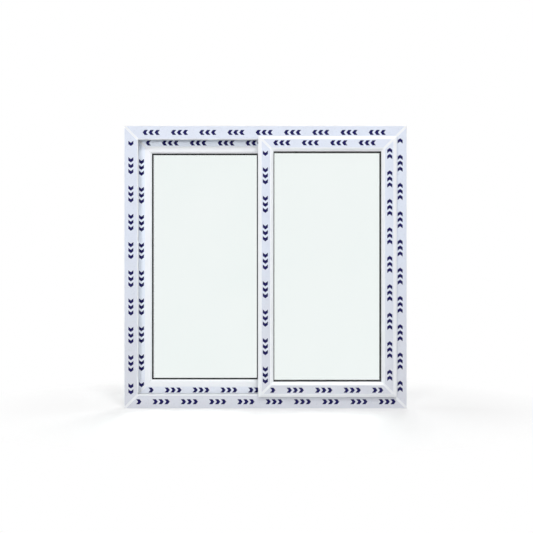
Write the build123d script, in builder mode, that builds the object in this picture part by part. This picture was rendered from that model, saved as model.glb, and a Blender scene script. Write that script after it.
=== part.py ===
"""Two-sash horizontal sliding window in white uPVC, closed, in millimetres.

X runs to the right seen from the front, Y from front to back and Z up.
The origin is the middle of the sill's underside.
The rear sash is the front sash turned half a turn about Z, so their beads face each other.
Every section is drawn across the bar: first depth, then distance inward from the outer edge.
"""
import os

from build123d import *

# Whole window
window_width = 1000.0
window_height = 1000.0
wall = 2.4

# Frame section
base_height = 30.0
rail_height = 18.0
rail_width = 12.0
rail_clearance = 3.0
rail_round = 2.0
corner_round = 1.0
back_groove_width = 24.0
back_groove_depth = 3.0

# Sash section, from the leg side (outside of the window's mid-plane) to the bead side
outer_leg = 14.0
inner_leg = 8.0
sash_gap = 8.0
channel_depth = 18.0
rebate_floor = 30.5
fixed_leg_height = 23.5
fixed_leg_depth = 8.0
outer_bevel_depth = 4.5
outer_bevel_length = 11.0
inner_bevel_depth = 4.0
inner_bevel_length = 6.0
slope_depth = 7.5
slope_length = 10.0
face_round = 8.0
edge_round = 0.8
joint_round = 0.8

# How far each sash reaches over the rails, and the stiles over each other
head_overlap = 10.0
sill_overlap = 6.0
jamb_overlap = 10.0
meeting_overlap = 52.0

# Double glazing
pane_thickness = 4.0
cavity = 10.0
gasket_thickness = 3.0
gasket_depth = 9.0
leg_lip = 2.0
bead_lip = 4.0
gasket_taper = 1.5
glazing_clearance = 5.0
spacer_height = 12.0

# Glazing bead
bead_height = 23.0
bead_wall = 1.8
bead_bevel_depth = 5.0
bead_bevel_length = 5.5
bead_round = 1.5
bead_mitre_gap = 0.15
foot_width = 2.4
foot_length = 3.0
foot_clearance = 0.3

# Track strip, roller carriages and wheels
track_width = 8.0
track_base = 0.8
ridge_width = 4.0
ridge_height = 1.2
carriage_length = 60.0
carriage_clearance = 0.3
roller_end_gap = 60.0
wheel_width = 7.0
wheel_clearance = 0.7
flange_width = 1.2
flange_depth = 1.0
tread_radius = 6.0
axle_radius = 1.7
axle_clearance = 0.15

# Interlock, stile cover and brush seals
interlock_wall = 1.4
interlock_foot = 18.0
interlock_edge = 4.0
interlock_reach = 5.8
interlock_clearance = 0.6
interlock_trim = 6.0
cover_wall = 1.6
cover_inset = 0.6
cover_clearance = 0.2
cover_end_gap = 3.0
brush_width = 4.0
brush_edge = 2.0
brush_trim = 14.0
brush_clearance = 0.3

# Fixing holes through the jambs and weep slots through the sill
fixing_diameter = 8.0
fixing_end = 150.0
fixing_offset = 8.0
weep_length = 30.0
weep_width = 5.0
weep_height = 13.0
weep_spacing = 600.0

# Sizes that follow
frame_face = base_height + rail_height
frame_depth = sash_gap + 2 * (inner_leg + rail_clearance + rail_width)
half_depth = frame_depth / 2
channel_width = rail_width + 2 * rail_clearance
sash_thickness = outer_leg + channel_width + inner_leg
sash_front = sash_gap / 2 + sash_thickness
sash_edge = window_width / 2 - frame_face + jamb_overlap
sash_width = sash_edge + meeting_overlap / 2
sash_height = window_height - 2 * frame_face + head_overlap + sill_overlap
sash_base = frame_face - sill_overlap
sash_center_x = sash_edge - sash_width / 2
sash_center_z = sash_base + sash_height / 2
channel_end = outer_leg + channel_width
rail_center = outer_leg + channel_width / 2
leg_top = rebate_floor + fixed_leg_height
near_pane = fixed_leg_depth + gasket_thickness
far_pane = near_pane + pane_thickness + cavity
glass_back = far_pane + pane_thickness
bead_inner = glass_back + gasket_thickness
bead_top = rebate_floor + bead_height
bead_middle = (bead_inner + sash_thickness) / 2
foot_depth = foot_length + foot_clearance
pane_inset = rebate_floor + glazing_clearance
track_height = track_base + ridge_height
axle_height = frame_face + track_height + tread_radius
wheel_radius = tread_radius + flange_depth
carriage_width = channel_width - 2 * carriage_clearance
roller_span = sash_width - 2 * roller_end_gap - carriage_length


def face_between(x0, x1, y0, y1, mode=Mode.ADD):
    """A rectangle given by its limits on the sketch."""
    with Locations(((x0 + x1) / 2, (y0 + y1) / 2)):
        Rectangle(x1 - x0, y1 - y0, mode=mode)


def frame_section():
    """Box with a groove on the wall side and a hollow rail along each face."""
    track = half_depth - rail_width
    groove = back_groove_width / 2
    face_between(-half_depth, half_depth, 0, base_height)
    for face in (-1, 1):
        rail = sorted((face * track, face * half_depth))
        face_between(*rail, base_height, frame_face)
    fillet(vertices().group_by(Axis.Y)[-1], rail_round)
    fillet(vertices().group_by(Axis.Y)[0], corner_round)
    face_between(-groove, groove, 0, back_groove_depth, Mode.SUBTRACT)
    floor = base_height - wall
    face_between(-groove, groove, back_groove_depth + wall, floor, Mode.SUBTRACT)
    for face in (-1, 1):
        side = sorted((face * (groove + wall), face * (half_depth - wall)))
        face_between(*side, wall, floor, Mode.SUBTRACT)
        rail = sorted((face * (track + wall), face * (half_depth - wall)))
        face_between(*rail, base_height, frame_face - wall, Mode.SUBTRACT)


def sash_section():
    """Channel over the rail, a hollow for reinforcement, and the glazing rebate with its fixed leg."""
    foot_gap = foot_width / 2 + foot_clearance
    Polygon(
        [
            (0, outer_bevel_length),
            (0, leg_top - slope_length),
            (slope_depth, leg_top),
            (fixed_leg_depth, leg_top),
            (fixed_leg_depth, rebate_floor),
            (bead_middle - foot_gap, rebate_floor),
            (bead_middle - foot_gap, rebate_floor - foot_depth),
            (bead_middle + foot_gap, rebate_floor - foot_depth),
            (bead_middle + foot_gap, rebate_floor),
            (sash_thickness, rebate_floor),
            (sash_thickness, inner_bevel_length),
            (sash_thickness - inner_bevel_depth, 0),
            (channel_end, 0),
            (channel_end, channel_depth),
            (outer_leg, channel_depth),
            (outer_leg, 0),
            (outer_bevel_depth, 0),
        ],
        align=None,
    )
    fillet(vertices().group_by(Axis.X)[0], face_round)
    fillet(vertices().group_by(Axis.X)[-1], joint_round)
    fillet(vertices().group_by(Axis.Y)[0], edge_round)
    bay = bead_middle - foot_gap - wall
    far_wall = sash_thickness - wall
    floor = channel_depth + wall
    face_between(wall, bay, floor, rebate_floor - wall, Mode.SUBTRACT)
    face_between(bay, far_wall, floor, rebate_floor - foot_depth - wall, Mode.SUBTRACT)
    face_between(wall, fixed_leg_depth - wall, rebate_floor - wall, leg_top - slope_length, Mode.SUBTRACT)
    face_between(wall, outer_leg - wall, outer_bevel_length + wall, channel_depth, Mode.SUBTRACT)
    face_between(outer_bevel_depth + wall, outer_leg - wall, wall, channel_depth, Mode.SUBTRACT)
    face_between(channel_end + wall, far_wall, inner_bevel_length + wall, channel_depth, Mode.SUBTRACT)


def bead_section():
    """Hollow bead with a snap foot, bevelled toward the glass."""
    Polygon(
        [
            (bead_inner, rebate_floor),
            (sash_thickness, rebate_floor),
            (sash_thickness, bead_top - bead_bevel_length),
            (sash_thickness - bead_bevel_depth, bead_top),
            (bead_inner, bead_top),
        ],
        align=None,
    )
    fillet(vertices().group_by(Axis.X)[-1].sort_by(Axis.Y)[-1:], bead_round)
    fillet(vertices().group_by(Axis.X)[-1].sort_by(Axis.Y)[:1], joint_round)
    half_foot = foot_width / 2
    face_between(bead_middle - half_foot, bead_middle + half_foot, rebate_floor - foot_length, rebate_floor)
    face_between(
        bead_inner + bead_wall,
        sash_thickness - bead_wall,
        rebate_floor + bead_wall,
        bead_top - bead_bevel_length - bead_wall,
        Mode.SUBTRACT,
    )


def leg_gasket_section():
    """Wedge between the fixed leg and the glass, with a lip that shows past the leg."""
    lip = leg_top + leg_lip
    Polygon(
        [
            (fixed_leg_depth, leg_top - gasket_depth),
            (near_pane, leg_top - gasket_depth),
            (near_pane, lip),
            (fixed_leg_depth + gasket_taper, lip),
            (fixed_leg_depth, leg_top),
        ],
        align=None,
    )


def bead_gasket_section():
    """Wedge between the glass and the bead, with a lip that shows past the bead."""
    lip = bead_top + bead_lip
    Polygon(
        [
            (glass_back, bead_top - gasket_depth),
            (bead_inner, bead_top - gasket_depth),
            (bead_inner, bead_top),
            (bead_inner - gasket_taper, lip),
            (glass_back, lip),
        ],
        align=None,
    )


def spacer_section():
    """Bar that keeps the panes apart along their edges."""
    face_between(near_pane + pane_thickness, far_pane, pane_inset, pane_inset + spacer_height)


def sides(width, height, center_x, center_z, face_y, turn):
    """Planes and lengths of the four bars, each plane at the bar's first corner."""
    left = center_x - turn * width / 2
    right = center_x + turn * width / 2
    low = center_z - height / 2
    high = center_z + height / 2
    depth = (0, turn, 0)
    return {
        "bottom": (Plane((left, face_y, low), x_dir=depth, z_dir=(turn, 0, 0)), width),
        "closing": (Plane((right, face_y, low), x_dir=depth, z_dir=(0, 0, 1)), height),
        "top": (Plane((right, face_y, high), x_dir=depth, z_dir=(-turn, 0, 0)), width),
        "meeting": (Plane((left, face_y, high), x_dir=depth, z_dir=(0, 0, -1)), height),
    }


def mitred_bar(side, section, cuts=(), gap=0.0):
    """A section drawn out along one side, mitred at both ends less the gap, and then cut."""
    start, length = side
    end = start.offset(length)
    with BuildPart() as bar:
        with BuildSketch(start):
            section()
        extrude(amount=length)
        split(bisect_by=Plane(start.origin, z_dir=start.z_dir - start.y_dir).offset(gap))
        split(bisect_by=Plane(end.origin, z_dir=-start.z_dir - start.y_dir).offset(gap))
        for plane, shape, amount in cuts:
            with BuildSketch(plane):
                shape()
            extrude(amount=amount, mode=Mode.SUBTRACT)
    return bar.part


def save(part, name):
    """Label one piece and write its file."""
    part.label = name
    export_step(part, f"parts/{name}.step")


def fixing_cuts(face):
    """Two holes through a jamb, in the half of its track that the closed sash leaves free."""
    middle = (face * window_width / 2, face * fixing_offset, window_height / 2)
    plane = Plane(middle, x_dir=(0, 0, 1), z_dir=(-face, 0, 0))

    def holes():
        with GridLocations(window_height - 2 * fixing_end, 1, 2, 1):
            Circle(fixing_diameter / 2)

    return [(plane, holes, base_height)]


def weep_cuts():
    """Slots that let water out of the track floor and then through the sill's rear face."""
    rear = Plane((0, half_depth, weep_height), x_dir=(1, 0, 0), z_dir=(0, -1, 0))
    reach = half_depth - back_groove_width / 2 + wall

    def slots():
        with GridLocations(weep_spacing, 1, 2, 1):
            SlotOverall(weep_length, weep_width)

    return [(rear, slots, reach), (Plane.XY.offset(base_height), slots, -wall)]


def pocket_cuts(turn):
    """Openings in the bottom rail's web over the wheels."""
    plane = Plane((turn * sash_center_x, turn * (rail_center - sash_front), sash_base + channel_depth))

    def pockets():
        with GridLocations(roller_span, 1, 2, 1):
            Rectangle(2 * (wheel_radius + wheel_clearance), wheel_width + 2 * wheel_clearance)

    return [(plane, pockets, wall)]


os.makedirs("parts", exist_ok=True)

frame_sides = sides(window_width, window_height, 0, window_height / 2, 0, 1)
save(mitred_bar(frame_sides["top"], frame_section), "frame_head")
save(mitred_bar(frame_sides["bottom"], frame_section, weep_cuts()), "frame_sill")
save(mitred_bar(frame_sides["meeting"], frame_section, fixing_cuts(-1)), "frame_left_jamb")
save(mitred_bar(frame_sides["closing"], frame_section, fixing_cuts(1)), "frame_right_jamb")

for sash, turn in (("front", 1), ("rear", -1)):
    center_x = turn * sash_center_x
    sash_sides = sides(sash_width, sash_height, center_x, sash_center_z, -turn * sash_front, turn)
    bars = {"top": "top_rail", "bottom": "bottom_rail", "closing": "lock_stile", "meeting": "meeting_stile"}
    for side, bar_name in bars.items():
        pockets = pocket_cuts(turn) if side == "bottom" else ()
        save(mitred_bar(sash_sides[side], sash_section, pockets), f"{sash}_sash_{bar_name}")
        save(mitred_bar(sash_sides[side], bead_section, gap=bead_mitre_gap), f"{sash}_sash_{side}_bead")

    rings = {
        "leg_gasket": leg_gasket_section,
        "bead_gasket": bead_gasket_section,
        "glass_spacer": spacer_section,
    }
    for ring_name, section in rings.items():
        lengths = [mitred_bar(side, section) for side in sash_sides.values()]
        with BuildPart() as ring:
            add(lengths)
        save(ring.part, f"{sash}_sash_{ring_name}")

    for pane_name, depth in (("leg_side_pane", near_pane), ("bead_side_pane", far_pane)):
        pane_plane = Plane(
            (center_x, turn * (depth - sash_front), sash_center_z), x_dir=(1, 0, 0), z_dir=(0, turn, 0)
        )
        with BuildPart() as pane:
            with BuildSketch(pane_plane):
                Rectangle(sash_width - 2 * pane_inset, sash_height - 2 * pane_inset)
            extrude(amount=pane_thickness)
        save(pane.part, f"{sash}_sash_{pane_name}")

    meeting, meeting_length = sash_sides["meeting"]
    strip_length = meeting_length - 2 * interlock_trim
    root = interlock_edge + interlock_foot
    interlock_tip = meeting_overlap - 2 * (root + interlock_wall) - interlock_clearance
    with BuildPart() as interlock:
        with BuildSketch(meeting.offset(interlock_trim)):
            face_between(sash_thickness, sash_thickness + interlock_wall, interlock_edge, root)
            face_between(sash_thickness, sash_thickness + interlock_reach, root, root + interlock_wall)
            face_between(
                sash_thickness + interlock_reach - interlock_wall,
                sash_thickness + interlock_reach,
                root,
                root + interlock_wall + interlock_tip,
            )
        extrude(amount=strip_length)
    save(interlock.part, f"{sash}_sash_interlock")

    cover_start = head_overlap + cover_end_gap
    cover_end = sill_overlap + track_height + cover_end_gap
    with BuildPart() as cover:
        with BuildSketch(meeting.offset(cover_start)):
            face_between(
                outer_leg + cover_clearance,
                channel_end - cover_clearance,
                cover_inset,
                cover_inset + cover_wall,
            )
        extrude(amount=meeting_length - cover_start - cover_end)
    save(cover.part, f"{sash}_sash_stile_cover")

    brush_height = rail_clearance - brush_clearance
    with BuildPart() as brushes:
        for side in ("bottom", "closing", "top"):
            start, length = sash_sides[side]
            with BuildSketch(start.offset(brush_trim)):
                brush_end = brush_edge + brush_width
                face_between(outer_leg, outer_leg + brush_height, brush_edge, brush_end)
                face_between(channel_end - brush_height, channel_end, brush_edge, brush_end)
            extrude(amount=length - 2 * brush_trim)
    save(brushes.part, f"{sash}_sash_brush_seals")

    track_y = turn * (rail_center - sash_front)
    half_span = roller_span / 2
    roller_plane = Plane((center_x, track_y, 0), x_dir=(1, 0, 0), z_dir=(0, -1, 0))
    carriage_low = axle_height - axle_radius - axle_clearance - wall
    carriage_high = sash_base + channel_depth
    with BuildPart() as carriages:
        with BuildSketch(roller_plane):
            with Locations((-half_span, 0), (half_span, 0)):
                face_between(-carriage_length / 2, carriage_length / 2, carriage_low, carriage_high)
        extrude(amount=carriage_width / 2, both=True)
        with BuildSketch(roller_plane):
            reach = wheel_radius + wheel_clearance
            with Locations((-half_span, 0), (half_span, 0)):
                face_between(-reach, reach, carriage_low, carriage_high)
        extrude(amount=wheel_width / 2 + wheel_clearance, both=True, mode=Mode.SUBTRACT)
        with BuildSketch(roller_plane):
            with Locations((-half_span, axle_height), (half_span, axle_height)):
                Circle(axle_radius + axle_clearance)
        extrude(amount=carriage_width / 2, both=True, mode=Mode.SUBTRACT)
    save(carriages.part, f"{sash}_sash_roller_carriages")

    with BuildPart() as wheels:
        for radius, half_width in (
            (wheel_radius, wheel_width / 2),
            (axle_radius, carriage_width / 2 - carriage_clearance),
        ):
            with BuildSketch(roller_plane):
                with Locations((-half_span, axle_height), (half_span, axle_height)):
                    Circle(radius)
            extrude(amount=half_width, both=True)
        with BuildSketch(roller_plane):
            with Locations((-half_span, axle_height), (half_span, axle_height)):
                Circle(wheel_radius)
                Circle(tread_radius, mode=Mode.SUBTRACT)
        extrude(amount=wheel_width / 2 - flange_width, both=True, mode=Mode.SUBTRACT)
    save(wheels.part, f"{sash}_sash_roller_wheels")

    track_length = window_width - 2 * frame_face
    with BuildPart() as track:
        with BuildSketch(Plane((-track_length / 2, track_y, frame_face), x_dir=(0, 1, 0), z_dir=(1, 0, 0))):
            face_between(-track_width / 2, track_width / 2, 0, track_base)
            face_between(-ridge_width / 2, ridge_width / 2, track_base, track_height)
        extrude(amount=track_length)
    save(track.part, f"{sash}_track_strip")
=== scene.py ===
"""Looks of a closed two-sash sliding uPVC window: plastic, glass, rubber, and printed protective film."""
import math

import bpy
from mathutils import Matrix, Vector, noise


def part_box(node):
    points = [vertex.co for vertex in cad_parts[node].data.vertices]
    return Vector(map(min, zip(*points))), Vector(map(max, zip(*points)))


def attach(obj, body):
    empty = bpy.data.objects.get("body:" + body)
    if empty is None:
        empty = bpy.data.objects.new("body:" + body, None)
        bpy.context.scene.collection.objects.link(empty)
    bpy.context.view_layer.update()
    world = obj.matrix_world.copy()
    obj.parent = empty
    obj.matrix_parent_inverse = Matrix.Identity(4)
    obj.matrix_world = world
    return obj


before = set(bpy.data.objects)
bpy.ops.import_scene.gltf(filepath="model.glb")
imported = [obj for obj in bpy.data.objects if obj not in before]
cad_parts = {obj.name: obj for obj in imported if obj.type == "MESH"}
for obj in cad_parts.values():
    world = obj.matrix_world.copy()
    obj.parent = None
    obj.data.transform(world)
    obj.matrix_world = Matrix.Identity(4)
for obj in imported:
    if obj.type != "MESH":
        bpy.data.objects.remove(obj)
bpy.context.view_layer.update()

MM = 0.001

# Camera: straight from the front, at the photo's distance and scale
VIEW_DISTANCE = 2.3
VIEW_WIDTH = 1.8864
VIEW_END = 200.0
SENSOR = 36.0
CAMERA_X = 3.5 * MM
CAMERA_Z = 502 * MM

# Protective film: where it starts and ends, and the middle of its print, inward from a bar's outer edge
FRAME_FILM = (1.2 * MM, 45.5 * MM, 23.5 * MM)
LEG_FILM = (12.5 * MM, 42.0 * MM, 25.5 * MM)
BEAD_FILM = (7.0 * MM, 29.5 * MM, 17.0 * MM)
FILM_LIFT = 0.05 * MM
FILM_RIPPLE = 0.06 * MM
RIPPLES_ACROSS = 22
RIPPLES_DEEP = 90
FILM_SETBACK = 5.5 * MM
FILM_STEP = 8.0 * MM
FILM_ROWS = 5

# Printed marks: groups of plain chevrons in one navy ink, and how far each bar's film starts along the roll
MARK_PITCH = 100 * MM
MARK_COUNT = 3
ROLL_STEP = 37 * MM
CHEVRON_PITCH = 21 * MM
CHEVRON_HEIGHT = 18 * MM
CHEVRON_POINT = 7 * MM
CHEVRON_STROKE = 12 * MM
INK_LIFT = 0.03 * MM

# Weld lines on the mitres: where they start and end, inward from the outer edges
FRAME_WELD = (1.5 * MM, 46 * MM)
LEG_WELD = (13 * MM, 41 * MM)
BEAD_WELD = (7 * MM, 29.5 * MM)
WELD_WIDTH = 1.0 * MM
WELD_LIFT = 0.03 * MM

# Places in a face's list of bars, which runs bottom, right, top, left
RIGHT_BAR, LEFT_BAR = 1, 3

# Materials: the useful range of a noise, its detail, and how it runs along a drawn profile
NOISE_RANGE = (0.3, 0.7)
NOISE_DETAIL = 3.0
RELIEF_STRENGTH = 0.4
RELIEF_FINER = 6
EVEN = (1.0, 1.0, 1.0)
ALONG_X = (0.04, 1.0, 1.0)
ALONG_Z = (1.0, 1.0, 0.04)
PVC_LOW, PVC_HIGH = (0.860, 0.880, 0.915), (0.890, 0.905, 0.935)
FILM_ROUGH = (0.24, 0.40)
FILM_RELIEF = 0.06 * MM
FILM_RELIEF_SCALE = 160
FILM_BLOTCH = 0.15
FILM_BLOTCH_SCALE = 45
# Heights over which the film's painted shade runs, from the darker foot colour up to the head colour
FILM_SHADE_HEIGHTS = (0.1, 0.6)
GLASS_LOW, GLASS_HIGH = (0.925, 0.955, 0.947), (0.935, 0.960, 0.953)
GLASS_SHADOW = (0.93, 0.96, 0.95, 1.0)
GLASS_TINT_SCALE = 3.0
GLASS_IOR = 1.5

# Studio: where the lamps aim, the world's light, and the floor with its fade to white
LAMP_TARGET = Vector((0, 0, 0.5))
WHITE = (1.0, 1.0, 1.0, 1.0)
WORLD_LIGHT = 0.27
FLOOR_REACH = 30.0
FLOOR_DROP = 0.2 * MM
FLOOR_COLOUR = (0.64, 0.64, 0.64, 1.0)
FLOOR_ROUGH = 0.9
FLOOR_GLOW = 0.32
FLOOR_PATCH_SCALE = (0.9, 1.6, 1.0)
FLOOR_PATCH_EDGE = 0.35


def new_material(name):
    """A material with its node tree and its Principled shader."""
    material = bpy.data.materials.new(name)
    material.use_nodes = True
    tree = material.node_tree
    return material, tree, tree.nodes["Principled BSDF"]


def noise_node(tree, scale, stretch=EVEN):
    """Noise in the window's own coordinates, stretched along an axis."""
    coords = tree.nodes.new("ShaderNodeTexCoord")
    mapping = tree.nodes.new("ShaderNodeMapping")
    mapping.inputs["Scale"].default_value = stretch
    texture = tree.nodes.new("ShaderNodeTexNoise")
    texture.inputs["Scale"].default_value = scale
    texture.inputs["Detail"].default_value = NOISE_DETAIL
    tree.links.new(coords.outputs["Object"], mapping.inputs["Vector"])
    tree.links.new(mapping.outputs["Vector"], texture.inputs["Vector"])
    return texture.outputs["Fac"]


def ramp(tree, factor, low, high, limits=NOISE_RANGE):
    """A colour ramp between two colours."""
    node = tree.nodes.new("ShaderNodeValToRGB")
    for element, position, colour in zip(node.color_ramp.elements, limits, (low, high)):
        element.position = position
        element.color = (*colour, 1.0)
    tree.links.new(factor, node.inputs["Fac"])
    return node.outputs["Color"]


def map_range(tree, value, source, target):
    """Map one range of numbers to another."""
    node = tree.nodes.new("ShaderNodeMapRange")
    node.inputs["From Min"].default_value, node.inputs["From Max"].default_value = source
    node.inputs["To Min"].default_value, node.inputs["To Max"].default_value = target
    tree.links.new(value, node.inputs["Value"])
    return node.outputs["Result"]


def combine(tree, operation, first, second):
    """One operation on two sockets."""
    node = tree.nodes.new("ShaderNodeMath")
    node.operation = operation
    tree.links.new(first, node.inputs[0])
    tree.links.new(second, node.inputs[1])
    return node.outputs[0]


def blend_shaders(tree, factor, first, second):
    """Send a mix of two shaders to the material's surface."""
    mix = tree.nodes.new("ShaderNodeMixShader")
    for socket, source in zip(mix.inputs, (factor, first, second)):
        tree.links.new(source, socket)
    tree.links.new(mix.outputs[0], tree.nodes["Material Output"].inputs["Surface"])


def bump(tree, shader, factor, distance):
    """Fine relief from a noise."""
    node = tree.nodes.new("ShaderNodeBump")
    node.inputs["Strength"].default_value = RELIEF_STRENGTH
    node.inputs["Distance"].default_value = distance
    tree.links.new(factor, node.inputs["Height"])
    tree.links.new(node.outputs["Normal"], shader.inputs["Normal"])


def surface(
    name,
    low,
    high,
    rough,
    scale,
    stretch=EVEN,
    relief=0.02 * MM,
    relief_scale=None,
    metallic=0.0,
    gloss=0.5,
):
    """A material with noise in its colour, roughness and relief."""
    material, tree, shader = new_material(name)
    factor = noise_node(tree, scale, stretch)
    tree.links.new(ramp(tree, factor, low, high), shader.inputs["Base Color"])
    fine = noise_node(tree, relief_scale or scale * RELIEF_FINER, stretch)
    tree.links.new(map_range(tree, fine, NOISE_RANGE, rough), shader.inputs["Roughness"])
    shader.inputs["Metallic"].default_value = metallic
    shader.inputs["Specular IOR Level"].default_value = gloss
    bump(tree, shader, fine, relief)
    return material


def film_material(name, foot, head):
    """Thin film with painted shade: darker and greyer toward the foot of the window, where less light
    falls.
    """
    material, tree, shader = new_material(name)
    coords = tree.nodes.new("ShaderNodeTexCoord")
    split = tree.nodes.new("ShaderNodeSeparateXYZ")
    tree.links.new(coords.outputs["Object"], split.inputs[0])
    # Painted shade: lower on the window the colour moves toward the darker, greyer foot colour
    height = map_range(tree, split.outputs["Z"], FILM_SHADE_HEIGHTS, (0.0, 1.0))
    blotch = map_range(tree, noise_node(tree, FILM_BLOTCH_SCALE), NOISE_RANGE, (-FILM_BLOTCH, FILM_BLOTCH))
    shade = combine(tree, "ADD", height, blotch)
    tree.links.new(ramp(tree, shade, foot, head, (0.0, 1.0)), shader.inputs["Base Color"])
    fine = noise_node(tree, FILM_RELIEF_SCALE)
    tree.links.new(map_range(tree, fine, NOISE_RANGE, FILM_ROUGH), shader.inputs["Roughness"])
    bump(tree, shader, fine, FILM_RELIEF)
    return material


def glass_material():
    """Clear float glass that lets lamp light through."""
    material, tree, shader = new_material("float_glass")
    tint = ramp(tree, noise_node(tree, GLASS_TINT_SCALE), GLASS_LOW, GLASS_HIGH)
    tree.links.new(tint, shader.inputs["Base Color"])
    shader.inputs["Roughness"].default_value = 0.0
    shader.inputs["IOR"].default_value = GLASS_IOR
    shader.inputs["Transmission Weight"].default_value = 1.0
    clear = tree.nodes.new("ShaderNodeBsdfTransparent")
    clear.inputs["Color"].default_value = GLASS_SHADOW
    path = tree.nodes.new("ShaderNodeLightPath")
    blend_shaders(tree, path.outputs["Is Shadow Ray"], shader.outputs[0], clear.outputs[0])
    return material


def pvc_material(name, stretch):
    """White plastic with fine lines along the way it was drawn."""
    return surface(
        name,
        PVC_LOW,
        PVC_HIGH,
        rough=(0.26, 0.36),
        scale=60,
        stretch=stretch,
        relief=0.03 * MM,
        relief_scale=900,
    )


pvc_x = pvc_material("upvc_drawn_along_x", ALONG_X)
pvc_z = pvc_material("upvc_drawn_along_z", ALONG_Z)
# The foot colours are painted shade, darker and greyer than the head colours
film = film_material("film", foot=(0.68, 0.695, 0.76), head=(0.70, 0.745, 0.85))
pale_film = film_material("pale_film", foot=(0.79, 0.82, 0.90), head=(0.80, 0.855, 0.955))
ink = surface(
    "navy_ink",
    (0.010, 0.009, 0.075),
    (0.020, 0.017, 0.110),
    rough=(0.40, 0.55),
    scale=220,
    relief=0.01 * MM,
    gloss=0.1,
)
weld = surface(
    "weld_seam",
    (0.70, 0.715, 0.74),
    (0.78, 0.79, 0.81),
    rough=(0.40, 0.55),
    scale=400,
    relief=0.08 * MM,
)
rubber = surface(
    "gasket_rubber",
    (0.010, 0.010, 0.011),
    (0.020, 0.020, 0.022),
    rough=(0.60, 0.80),
    scale=300,
    gloss=0.2,
)
aluminium = surface(
    "aluminium",
    (0.70, 0.71, 0.73),
    (0.80, 0.81, 0.83),
    rough=(0.28, 0.42),
    scale=200,
    stretch=ALONG_X,
    metallic=1.0,
)
pile = surface(
    "brush_pile",
    (0.16, 0.165, 0.17),
    (0.34, 0.345, 0.35),
    rough=(0.85, 0.95),
    scale=1800,
    relief=0.4 * MM,
)
nylon = surface(
    "nylon",
    (0.62, 0.61, 0.57),
    (0.70, 0.69, 0.65),
    rough=(0.42, 0.55),
    scale=150,
    relief=0.03 * MM,
)
glass = glass_material()


def dress(name, obj):
    """Give one CAD node the material of its kind."""
    if "pane" in name:
        material = glass
    elif "gasket" in name:
        material = rubber
    elif "spacer" in name or "track" in name:
        material = aluminium
    elif "brush" in name:
        material = pile
    elif "roller" in name:
        material = nylon
    elif any(word in name for word in ("jamb", "stile", "closing", "meeting", "interlock")):
        material = pvc_z
    else:
        material = pvc_x
    obj.data.materials.clear()
    obj.data.materials.append(material)


for node_name, node_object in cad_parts.items():
    dress(node_name, node_object)


def add_piece(name, vertices, faces, material):
    """A thin mesh piece fixed to the window's profiles."""
    mesh = bpy.data.meshes.new(name)
    mesh.from_pydata(vertices, [], faces)
    mesh.update()
    for polygon in mesh.polygons:
        polygon.use_smooth = True
    obj = bpy.data.objects.new(name, mesh)
    bpy.context.scene.collection.objects.link(obj)
    mesh.materials.append(material)
    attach(obj, "root")


class Bar:
    """One mitred bar's face: along it, inward across it and outward from it."""

    def __init__(self, corner, along, inward, outward, length):
        self.corner, self.length = Vector(corner), length
        self.along, self.inward, self.outward = Vector(along), Vector(inward), Vector(outward)

    def point(self, s, t, lift):
        """A point at s along and t inward, lifted off the face."""
        return self.corner + self.along * s + self.inward * t + self.outward * lift

    def limits(self, t):
        """Where the film may run along the bar at distance t inward."""
        return t + FILM_SETBACK, self.length - t - FILM_SETBACK

    def holds(self, s, t):
        """Whether a point is on the film."""
        near, far = self.limits(t)
        return near < s < far

    def film_lift(self, s, t):
        """Height of the film, with faint ripples."""
        place = self.corner + self.along * s + self.inward * t
        wave = noise.noise(
            Vector((place.x * RIPPLES_ACROSS, place.y * RIPPLES_DEEP, place.z * RIPPLES_ACROSS))
        )
        return FILM_LIFT + FILM_RIPPLE * max(0.0, wave)

    def face(self, quad):
        """Turn a face so that it looks outward."""
        return quad if self.along.cross(self.inward).dot(self.outward) > 0 else quad[::-1]


def bars_of(low, high, y, outward):
    """The four bars of a rectangle, in the order bottom, right, top, left."""
    width, height = high[0] - low[0], high[1] - low[1]
    corners = ((low[0], y, low[1]), (high[0], y, low[1]), (high[0], y, high[1]), (low[0], y, high[1]))
    along = ((1, 0, 0), (0, 0, 1), (-1, 0, 0), (0, 0, -1))
    inward = ((0, 0, 1), (-1, 0, 0), (0, 0, -1), (1, 0, 0))
    lengths = (width, height, width, height)
    return [Bar(corners[i], along[i], inward[i], (0, outward, 0), lengths[i]) for i in range(4)]


def add_film(name, bars, band, material):
    """Film strips on some bars of one face, as one piece."""
    start, end, _ = band
    vertices, faces = [], []
    for bar in bars:
        columns = round(bar.length / FILM_STEP)
        first = len(vertices)
        for row in range(FILM_ROWS + 1):
            t = start + (end - start) * row / FILM_ROWS
            near, far = bar.limits(t)
            for column in range(columns + 1):
                s = near + (far - near) * column / columns
                vertices.append(bar.point(s, t, bar.film_lift(s, t)))
        for row in range(FILM_ROWS):
            for column in range(columns):
                a = first + row * (columns + 1) + column
                faces.append(bar.face((a, a + 1, a + columns + 2, a + columns + 1)))
    add_piece(name, vertices, faces, material)


def chevron(s, middle):
    """The six corners of a chevron that starts at s along a bar."""
    low, high = middle - CHEVRON_HEIGHT / 2, middle + CHEVRON_HEIGHT / 2
    return [
        (s, low),
        (s + CHEVRON_STROKE, low),
        (s + CHEVRON_POINT + CHEVRON_STROKE, middle),
        (s + CHEVRON_STROKE, high),
        (s, high),
        (s + CHEVRON_POINT, middle),
    ]


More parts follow.
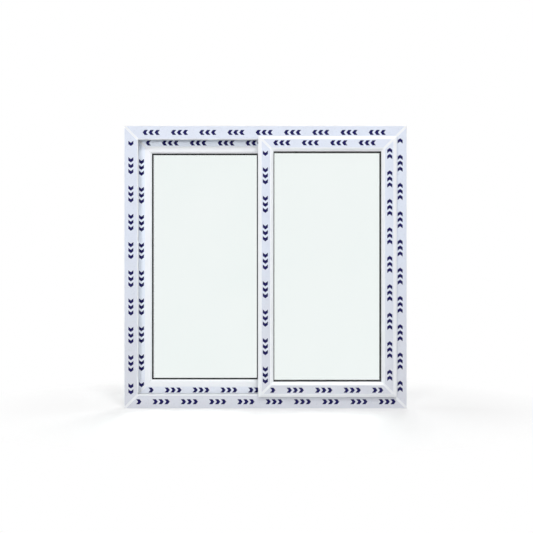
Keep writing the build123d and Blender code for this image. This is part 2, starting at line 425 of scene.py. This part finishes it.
def add_marks(name, bars, band):
    """Printed chevrons on the film of some bars, as one piece, less those that a mitre would cut."""
    middle = band[2]
    vertices, faces = [], []
    for place, bar in enumerate(bars):
        roll_start = place * ROLL_STEP % MARK_PITCH
        for group in range(math.ceil(bar.length / MARK_PITCH)):
            for number in range(MARK_COUNT):
                shape = chevron(roll_start + group * MARK_PITCH + number * CHEVRON_PITCH, middle)
                if not all(bar.holds(s, t) for s, t in shape):
                    continue
                a = len(vertices)
                vertices += [bar.point(s, t, bar.film_lift(s, t) + INK_LIFT) for s, t in shape]
                faces.append(bar.face((a, a + 1, a + 2, a + 5)))
                faces.append(bar.face((a + 5, a + 2, a + 3, a + 4)))
    add_piece(name, vertices, faces, ink)


def add_welds(name, bars, band):
    """A thin seam along the mitre at each bar's first corner, as one piece."""
    half = WELD_WIDTH / 2
    vertices, faces = [], []
    for bar in bars:
        a = len(vertices)
        for t in band:
            for side in (-half, half):
                vertices.append(bar.point(t + side, t - side, WELD_LIFT))
        faces.append(bar.face((a, a + 1, a + 3, a + 2)))
    add_piece(name, vertices, faces, weld)


def rectangle(bottom, top):
    """Lowest and highest X and Z of a bottom bar and a top bar."""
    low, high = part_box(bottom)[0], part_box(top)[1]
    return (low[0], low[2]), (high[0], high[2])


def face_y(name, outward):
    """Where a node's front or rear face is."""
    low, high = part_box(name)
    return low[1] if outward < 0 else high[1]


frame_low, frame_high = rectangle("frame_sill", "frame_head")
for side, outward in (("front", -1), ("back", 1)):
    bars = bars_of(frame_low, frame_high, face_y("frame_head", outward), outward)
    add_film(f"frame_{side}_film", bars, FRAME_FILM, film)
    add_marks(f"frame_{side}_marks", bars, FRAME_FILM)
    add_welds(f"frame_{side}_welds", bars, FRAME_WELD)

# On the bead side the meeting stile looks at the other sash, so that bar has no film there
for sash, turn, meeting_bar in (("front", 1, LEFT_BAR), ("rear", -1, RIGHT_BAR)):
    top_rail = f"{sash}_sash_top_rail"
    low, high = rectangle(f"{sash}_sash_bottom_rail", top_rail)
    bars = bars_of(low, high, face_y(top_rail, -turn), -turn)
    add_film(f"{sash}_sash_leg_film", bars, LEG_FILM, film)
    add_marks(f"{sash}_sash_leg_marks", bars, LEG_FILM)
    add_welds(f"{sash}_sash_leg_welds", bars, LEG_WELD)
    bars = bars_of(low, high, face_y(top_rail, turn), turn)
    add_welds(f"{sash}_sash_bead_welds", bars, BEAD_WELD)
    del bars[meeting_bar]
    add_film(f"{sash}_sash_bead_film", bars, BEAD_FILM, pale_film)
    add_marks(f"{sash}_sash_bead_marks", bars, BEAD_FILM)


def area_light(name, place, size, power, mirrored=False):
    """A soft lamp aimed at the middle of the window, which glass and shiny faces may show."""
    data = bpy.data.lights.new(name, "AREA")
    data.shape = "SQUARE"
    data.size = size
    data.energy = power
    obj = bpy.data.objects.new(name, data)
    obj.location = place
    obj.rotation_euler = (LAMP_TARGET - Vector(place)).to_track_quat("-Z", "Y").to_euler()
    obj.visible_glossy = mirrored
    obj.visible_transmission = mirrored
    bpy.context.scene.collection.objects.link(obj)


def seen_rays(tree):
    """1 on rays that show a surface to the camera: straight, mirrored or through glass."""
    path = tree.nodes.new("ShaderNodeLightPath")
    seen = combine(tree, "MAXIMUM", path.outputs["Is Camera Ray"], path.outputs["Is Glossy Ray"])
    return combine(tree, "MAXIMUM", seen, path.outputs["Is Transmission Ray"])


def make_world():
    """Surroundings that are white where they are seen, and softer where they shine."""
    world = bpy.data.worlds.new("studio")
    bpy.context.scene.world = world
    world.use_nodes = True
    tree = world.node_tree
    background = tree.nodes["Background"]
    background.inputs["Color"].default_value = WHITE
    level = map_range(tree, seen_rays(tree), (0.0, 1.0), (WORLD_LIGHT, 1.0))
    tree.links.new(level, background.inputs["Strength"])


def floor_material():
    """Pale matt floor with a soft contact shadow round the window, and plain white further off."""
    material, tree, shader = new_material("floor")
    shader.inputs["Base Color"].default_value = FLOOR_COLOUR
    shader.inputs["Roughness"].default_value = FLOOR_ROUGH
    shader.inputs["Specular IOR Level"].default_value = 0.0
    shader.inputs["Emission Color"].default_value = WHITE
    seen = seen_rays(tree)
    tree.links.new(map_range(tree, seen, (0.0, 1.0), (0.0, FLOOR_GLOW)), shader.inputs["Emission Strength"])
    coords = tree.nodes.new("ShaderNodeTexCoord")
    mapping = tree.nodes.new("ShaderNodeMapping")
    mapping.inputs["Scale"].default_value = FLOOR_PATCH_SCALE
    patch = tree.nodes.new("ShaderNodeTexGradient")
    patch.gradient_type = "SPHERICAL"
    tree.links.new(coords.outputs["Object"], mapping.inputs["Vector"])
    tree.links.new(mapping.outputs["Vector"], patch.inputs["Vector"])
    far = map_range(tree, patch.outputs["Fac"], (0.0, FLOOR_PATCH_EDGE), (1.0, 0.0))
    white = tree.nodes.new("ShaderNodeEmission")
    share = combine(tree, "MULTIPLY", far, seen)
    blend_shaders(tree, share, shader.outputs[0], white.outputs[0])
    return material


def make_floor():
    """A wide floor just under the window."""
    corners = [(x * FLOOR_REACH, y * FLOOR_REACH, 0) for x, y in ((-1, -1), (1, -1), (1, 1), (-1, 1))]
    mesh = bpy.data.meshes.new("floor")
    mesh.from_pydata(corners, [], [(0, 1, 2, 3)])
    mesh.materials.append(floor_material())
    floor = bpy.data.objects.new("floor", mesh)
    floor.location.z = -FLOOR_DROP
    bpy.context.scene.collection.objects.link(floor)


def make_camera():
    """A level camera before the middle of the window."""
    data = bpy.data.cameras.new("camera")
    data.sensor_width = SENSOR
    data.lens = SENSOR * VIEW_DISTANCE / VIEW_WIDTH
    data.clip_end = VIEW_END
    camera = bpy.data.objects.new("camera", data)
    camera.location = (CAMERA_X, face_y("frame_head", -1) - VIEW_DISTANCE, CAMERA_Z)
    camera.rotation_euler = (math.pi / 2, 0, 0)
    bpy.context.scene.collection.objects.link(camera)
    bpy.context.scene.camera = camera


area_light("key", place=(1.0, -3.0, 3.8), size=1.0, power=86, mirrored=True)
area_light("right", place=(2.6, -2.4, 1.2), size=1.0, power=5)
area_light("left", place=(-1.45, -3.4, 1.4), size=0.6, power=35)
area_light("fill", place=(-0.5, -3.4, 2.0), size=0.7, power=8)
area_light("far_left", place=(-3.0, 0.4, 1.6), size=1.0, power=20)
area_light("back", place=(0.8, 3.0, 3.0), size=1.8, power=68, mirrored=True)
make_world()
make_floor()
make_camera()
bpy.context.scene.view_settings.view_transform = "Standard"
